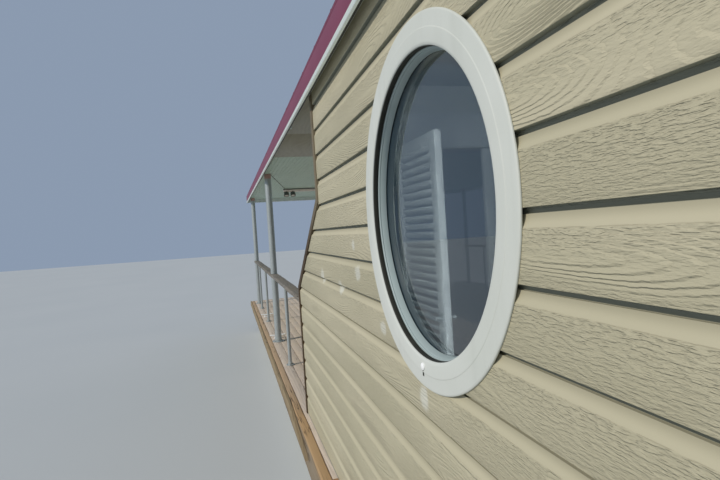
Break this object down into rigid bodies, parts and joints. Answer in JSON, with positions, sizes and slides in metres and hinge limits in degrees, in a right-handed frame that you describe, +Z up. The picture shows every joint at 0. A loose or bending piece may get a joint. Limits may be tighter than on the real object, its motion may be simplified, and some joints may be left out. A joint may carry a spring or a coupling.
{
  "type": "houseboat",
  "caption": "Houseboat on twin flat-bottomed pontoons: clapboard cabin with round windows and louvred doors, long covered terrace with posts, handrails and mooring cleats, low hipped roof.",
  "frame": {"origin": "middle of the bounding box in plan, on the level of the pontoons' flat bottoms", "axes": "+X to the bow, where the terrace is; +Y to port; +Z up"},
  "size_m": [15.2, 5.2446, 3.6903],
  "materials": {
    "hull": "white gelcoat, satin, a little stained at the waterline",
    "raw_timber": "weathered timber beam, worn orange on top and grey on its sides, split along the grain",
    "deck_timber": "weathered grey boards",
    "frame_timber": "rough sawn bearers",
    "floor_timber": "worn varnished boards",
    "siding": "beige clapboard embossed with wood grain",
    "varnish": "dark varnished edge board",
    "window_ring": "white moulded ring, satin",
    "window_glass": "clear, reflects strongly",
    "roof_metal": "maroon paint, satin",
    "edge_paint": "white paint, satin",
    "ceiling_ply": "varnished plywood, matt",
    "ceiling_paint": "pale green painted boards",
    "post_steel": "galvanised, dull",
    "cleat_paint": "white, satin",
    "door_paint": "white paint, satin",
    "lamp_metal": "dark grey paint"
  },
  "bodies": {
    "platform": {"hull_port": "hull", "hull_starboard": "hull", "edge_beam_port": "raw_timber", "edge_beam_starboard": "raw_timber", "edge_beam_front": "raw_timber", "edge_beam_rear": "raw_timber", "rubbing_plank_port": "raw_timber", "rubbing_plank_starboard": "raw_timber", "terrace_deck": "deck_timber", "aft_deck": "deck_timber", "handrail_port": "deck_timber", "handrail_starboard": "deck_timber", "deck_frame": "frame_timber", "cabin_floor": "floor_timber", "side_wall_port": "siding", "side_wall_starboard": "siding", "front_wall": "siding", "rear_wall": "siding", "wing_trim_port": "varnish", "wing_trim_starboard": "varnish", "porthole_ring_front_port": "window_ring", "porthole_ring_front_starboard": "window_ring", "porthole_ring_rear_port": "window_ring", "porthole_ring_rear_starboard": "window_ring", "porthole_glass_front_port": "window_glass", "porthole_glass_front_starboard": "window_glass", "porthole_glass_rear_port": "window_glass", "porthole_glass_rear_starboard": "window_glass", "roof": "roof_metal", "roof_fascia": "roof_metal", "roof_edge_strip": "edge_paint", "ceiling_panel": "ceiling_ply", "ceiling_boards": "ceiling_paint", "post_middle_port": "post_steel", "post_middle_starboard": "post_steel", "post_front_port": "post_steel", "post_front_starboard": "post_steel", "stanchion_1_port": "post_steel", "stanchion_1_starboard": "post_steel", "stanchion_2_port": "post_steel", "stanchion_2_starboard": "post_steel", "stanchion_3_port": "post_steel", "stanchion_3_starboard": "post_steel", "cleat_middle_port": "cleat_paint", "cleat_middle_starboard": "cleat_paint", "cleat_front_port": "cleat_paint", "cleat_front_starboard": "cleat_paint", "terrace_lamp": "lamp_metal"},
    "door_port_outer_leaf": {"door_port_outer": "door_paint"},
    "door_port_inner_leaf": {"door_port_inner": "door_paint"},
    "door_starboard_inner_leaf": {"door_starboard_inner": "door_paint"},
    "door_starboard_outer_leaf": {"door_starboard_outer": "door_paint"},
    "door_rear_leaf": {"door_rear": "door_paint"}
  },
  "joints": [
    {"name": "door_port_outer_hinge", "type": "hinge", "parent": "platform", "child": "door_port_outer_leaf", "pos_m": [-0.979, 2.076, 1.07], "axis": [0, 0, 1], "range_deg": [0, 90]},
    {"name": "door_port_inner_hinge", "type": "hinge", "parent": "platform", "child": "door_port_inner_leaf", "pos_m": [-0.979, 0.918, 1.07], "axis": [0, 0, 1], "range_deg": [0, 90]},
    {"name": "door_starboard_inner_hinge", "type": "hinge", "parent": "platform", "child": "door_starboard_inner_leaf", "pos_m": [-0.979, -0.918, 1.07], "axis": [0, 0, -1], "range_deg": [0, 90]},
    {"name": "door_starboard_outer_hinge", "type": "hinge", "parent": "platform", "child": "door_starboard_outer_leaf", "pos_m": [-0.979, -2.076, 1.07], "axis": [0, 0, 1], "range_deg": [0, 90]},
    {"name": "door_rear_hinge", "type": "hinge", "parent": "platform", "child": "door_rear_leaf", "pos_m": [-6.511, 0.376, 1.07], "axis": [0, 0, 1], "range_deg": [0, 90]}
  ]
}
